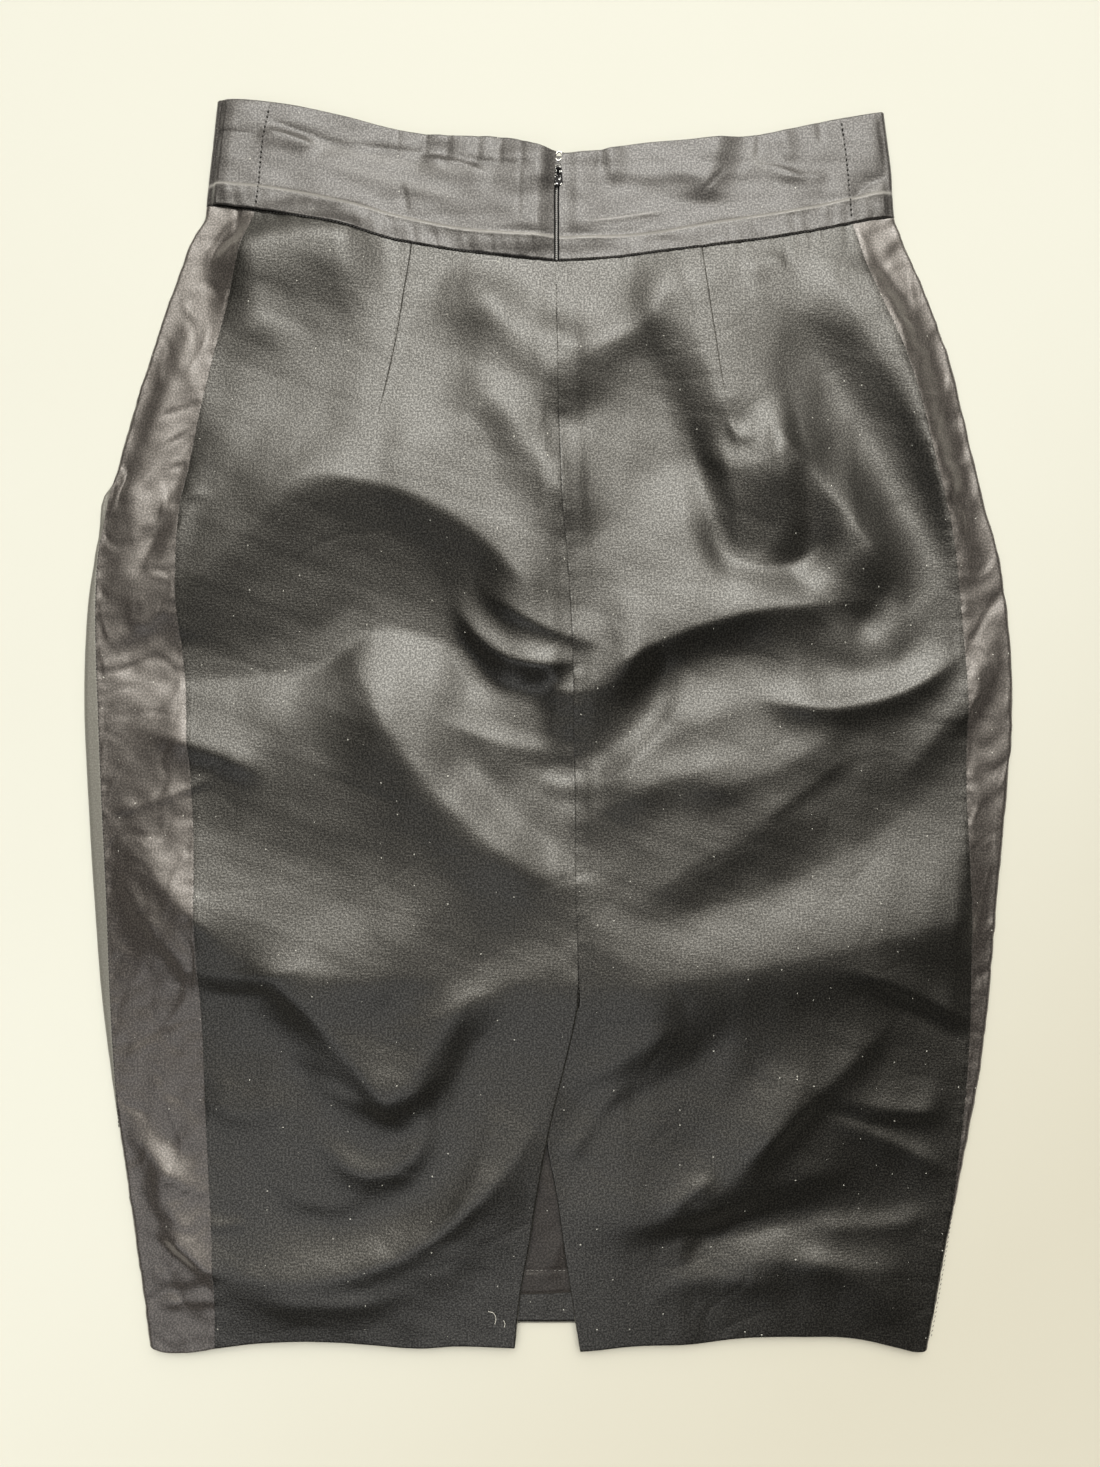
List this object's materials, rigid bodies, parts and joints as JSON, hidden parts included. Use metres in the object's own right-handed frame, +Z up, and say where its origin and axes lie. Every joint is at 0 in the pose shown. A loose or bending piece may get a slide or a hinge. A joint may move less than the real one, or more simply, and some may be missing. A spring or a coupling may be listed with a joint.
{
  "type": "pencil skirt",
  "caption": "High-waisted knee-length pencil skirt laid face down, with satin side panels and band, a back zip and a back slit.",
  "frame": {"origin": "centre of the bounding box's bottom, on the surface that the skirt lies on", "axes": "+Y from the hem to the waist, +Z up out of the back of the skirt, +X to the right of someone looking down on the back"},
  "size_m": [0.4718, 0.6352, 0.0172],
  "materials": {
    "wool": "black fine wool sateen, matt with a soft sheen",
    "satin": "black heavy satin, soft gloss",
    "lining": "black lining satin, soft gloss",
    "zip_tape": "grey-black woven tape",
    "black_metal": "black enamel, chipped",
    "nickel": "bright nickel plate"
  },
  "bodies": {
    "skirt": {"back_left": "wool", "back_right": "wool", "front": "wool", "front_hem_turn_up": "wool", "side_left": "satin", "side_right": "satin", "band_back_left": "satin", "band_back_right": "satin", "band_side_left": "satin", "band_side_right": "satin", "band_front": "satin", "lining": "lining", "zip_chain": "zip_tape", "zip_slider": "black_metal", "waist_hook": "nickel"},
    "zip_pull": {"zip_pull_tab": "black_metal"}
  },
  "joints": [
    {"name": "pull_tab_swing", "type": "hinge", "parent": "skirt", "child": "zip_pull", "pos_m": [0.0048, 0.2815, 0.00735], "axis": [-1, 0, 0], "range_deg": [0, 160]}
  ]
}
